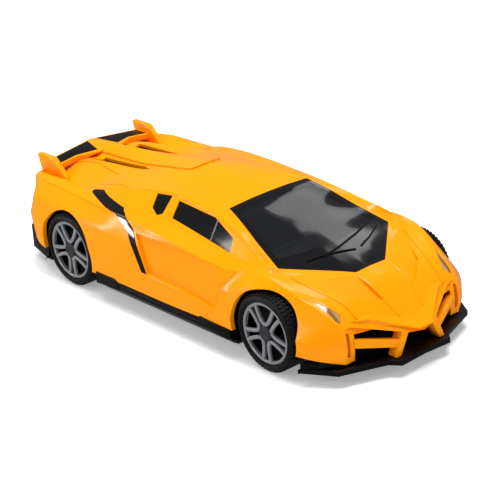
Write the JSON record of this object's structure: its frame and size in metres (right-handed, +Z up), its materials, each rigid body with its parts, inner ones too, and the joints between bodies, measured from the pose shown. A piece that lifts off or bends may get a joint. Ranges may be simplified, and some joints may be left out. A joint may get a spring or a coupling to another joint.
{
  "type": "pull back toy car",
  "caption": "Wedge shaped pull back toy car with a hollow moulded body, flat chassis, spoked wheels on two axles and a geared spring motor on the rear axle.",
  "frame": {"origin": "on the ground, at the middle of the car's length and width", "axes": "+X points to the car's front, +Y to its left side, +Z up"},
  "size_m": [0.17, 0.0748, 0.0436],
  "materials": {
    "body_orange": "glossy moulded ABS",
    "screen_glazing": "smoke tinted clear moulding with a black border",
    "side_glazing": "gloss black moulding",
    "headlight_clear": "amber tinted clear moulding",
    "tail_red": "red clear-look plastic",
    "black_plastic": "satin black moulded plastic",
    "cabin_grey": "dark grey moulded plastic",
    "motor_plastic": "grey moulded plastic",
    "gear_nylon": "natural nylon",
    "spring_steel": "blued spring steel strip",
    "screw_steel": "zinc plated",
    "axle_steel": "bright drawn steel",
    "tyre_black": "soft black vinyl with a tread",
    "wheel_black": "satin black plastic",
    "rim_silver": "silver painted plastic"
  },
  "bodies": {
    "car": {"body_shell": "body_orange", "rear_wing": "body_orange", "windscreen": "screen_glazing", "chassis": "black_plastic", "front_grille": "black_plastic", "rear_grille": "black_plastic", "interior_tub": "cabin_grey", "steering_wheel": "cabin_grey", "front_axle_retainer": "black_plastic", "motor_case_left": "motor_plastic", "motor_case_right": "motor_plastic", "mainspring": "spring_steel", "motor_screws": "screw_steel", "chassis_screws": "screw_steel", "door_window_left": "side_glazing", "quarter_window_left": "side_glazing", "headlight_left": "headlight_clear", "tail_light_left": "tail_red", "side_trim_left": "black_plastic", "engine_louvre_left": "black_plastic", "wing_panel_left": "black_plastic", "door_window_right": "side_glazing", "quarter_window_right": "side_glazing", "headlight_right": "headlight_clear", "tail_light_right": "tail_red", "side_trim_right": "black_plastic", "engine_louvre_right": "black_plastic", "wing_panel_right": "black_plastic"},
    "front_wheels": {"front_axle": "axle_steel", "tyre_front_left": "tyre_black", "tyre_front_right": "tyre_black", "wheel_core_front_left": "wheel_black", "wheel_core_front_right": "wheel_black", "rim_face_front_left": "rim_silver", "rim_face_front_right": "rim_silver"},
    "rear_wheels": {"rear_axle": "axle_steel", "axle_pinion": "gear_nylon", "tyre_rear_left": "tyre_black", "tyre_rear_right": "tyre_black", "wheel_core_rear_left": "wheel_black", "wheel_core_rear_right": "wheel_black", "rim_face_rear_left": "rim_silver", "rim_face_rear_right": "rim_silver"},
    "compound": {"compound_gear": "gear_nylon"},
    "winding": {"spring_gear": "gear_nylon"}
  },
  "joints": [
    {"name": "rear_axle_spin", "type": "hinge", "parent": "car", "child": "rear_wheels", "pos_m": [-0.05, 0, 0.013], "axis": [0, 1, 0], "continuous": true},
    {"name": "front_axle_spin", "type": "hinge", "parent": "car", "child": "front_wheels", "pos_m": [0.05, 0, 0.013], "axis": [0, 1, 0], "continuous": true},
    {"name": "compound_gear_spin", "type": "hinge", "parent": "car", "child": "compound", "pos_m": [-0.03961, 0, 0.019], "axis": [0, 1, 0], "continuous": true},
    {"name": "spring_gear_spin", "type": "hinge", "parent": "car", "child": "winding", "pos_m": [-0.02588, 0, 0.02044], "axis": [0, 1, 0], "continuous": true, "deforming": ["mainspring"]}
  ],
  "couplings": [
    {"joint": "compound_gear_spin", "follows": "rear_axle_spin", "ratio": -0.33333},
    {"joint": "spring_gear_spin", "follows": "rear_axle_spin", "ratio": 0.092593}
  ]
}
